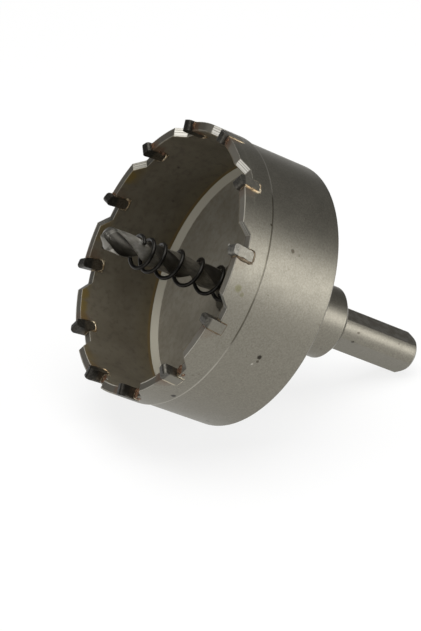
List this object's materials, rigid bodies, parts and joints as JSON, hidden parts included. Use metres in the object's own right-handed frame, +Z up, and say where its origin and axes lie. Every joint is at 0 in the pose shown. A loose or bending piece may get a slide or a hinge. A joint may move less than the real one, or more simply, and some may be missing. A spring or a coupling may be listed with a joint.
{
  "type": "hole saw",
  "caption": "Carbide-tipped hole saw: steel cup with brazed teeth on a flatted shank, with a pilot drill and ejector spring.",
  "frame": {"origin": "on the floor, under the middle of the saw as it lies tipped back on the rear edge of its cup and the end of its shank", "axes": "+Z up; the saw's own axis lies in the XZ plane at 29.8 degrees to the floor, its shank towards +X and down, its mouth towards -X and up"},
  "size_m": [0.0974, 0.076, 0.0811],
  "materials": {
    "cup_steel": "satin, finely blasted",
    "arbor_steel": "satin, turned",
    "drill_steel": "ground, bright",
    "spring_steel": "black oxide, oiled",
    "screw_steel": "black oxide",
    "carbide": "dark grey, ground edges",
    "bronze": "brazing bronze, dull"
  },
  "bodies": {
    "root": {"cup": "cup_steel", "arbor": "arbor_steel", "pilot_drill": "drill_steel", "set_screw": "screw_steel", "ejector_spring": "spring_steel", "carbide_tip_01": "carbide", "carbide_tip_02": "carbide", "carbide_tip_03": "carbide", "carbide_tip_04": "carbide", "carbide_tip_05": "carbide", "carbide_tip_06": "carbide", "carbide_tip_07": "carbide", "carbide_tip_08": "carbide", "carbide_tip_09": "carbide", "carbide_tip_10": "carbide", "carbide_tip_11": "carbide", "carbide_tip_12": "carbide", "braze_seam_01": "bronze", "braze_seam_02": "bronze", "braze_seam_03": "bronze", "braze_seam_04": "bronze", "braze_seam_05": "bronze", "braze_seam_06": "bronze", "braze_seam_07": "bronze", "braze_seam_08": "bronze", "braze_seam_09": "bronze", "braze_seam_10": "bronze", "braze_seam_11": "bronze", "braze_seam_12": "bronze"}
  },
  "joints": []
}
